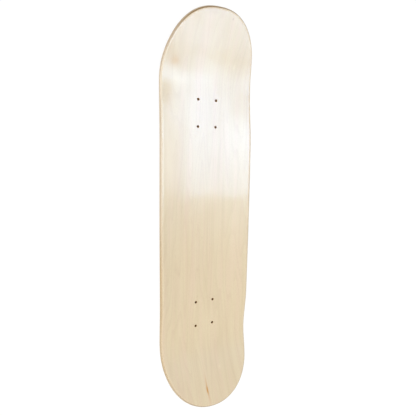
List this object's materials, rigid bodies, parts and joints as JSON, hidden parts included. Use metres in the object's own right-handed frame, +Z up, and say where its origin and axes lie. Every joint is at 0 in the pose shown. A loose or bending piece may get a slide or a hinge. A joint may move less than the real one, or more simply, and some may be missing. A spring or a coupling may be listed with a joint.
{
  "type": "skateboard deck",
  "caption": "Blank laminated maple skateboard deck with kicked nose and tail, side concave, rolled edges and drilled truck holes.",
  "frame": {"origin": "on the underside at z = 0, where the flat of the deck rests, below the middle of the wheelbase, midway between the two truck hole patterns", "axes": "+X towards the nose, +Y to the rider's left, +Z up out of the riding face; nose and tail kick up towards +Z"},
  "size_m": [0.8174, 0.2128, 0.0632],
  "materials": {
    "maple_face": "clear satin lacquer over sanded maple face veneer, grain lengthwise",
    "maple_long_grain": "sanded and lacquered maple edge, grain lengthwise",
    "maple_cross_grain": "sanded and lacquered maple crossband, grain across, darker end grain along the sides",
    "wood_glue": "thin cured glue line"
  },
  "bodies": {
    "root": {"bottom_face_veneer": "maple_face", "glue_line_1": "wood_glue", "lower_inner_veneer": "maple_long_grain", "glue_line_2": "wood_glue", "lower_crossband": "maple_cross_grain", "glue_line_3": "wood_glue", "core_veneer": "maple_long_grain", "glue_line_4": "wood_glue", "upper_crossband": "maple_cross_grain", "glue_line_5": "wood_glue", "upper_inner_veneer": "maple_long_grain", "glue_line_6": "wood_glue", "top_face_veneer": "maple_face"}
  },
  "joints": []
}
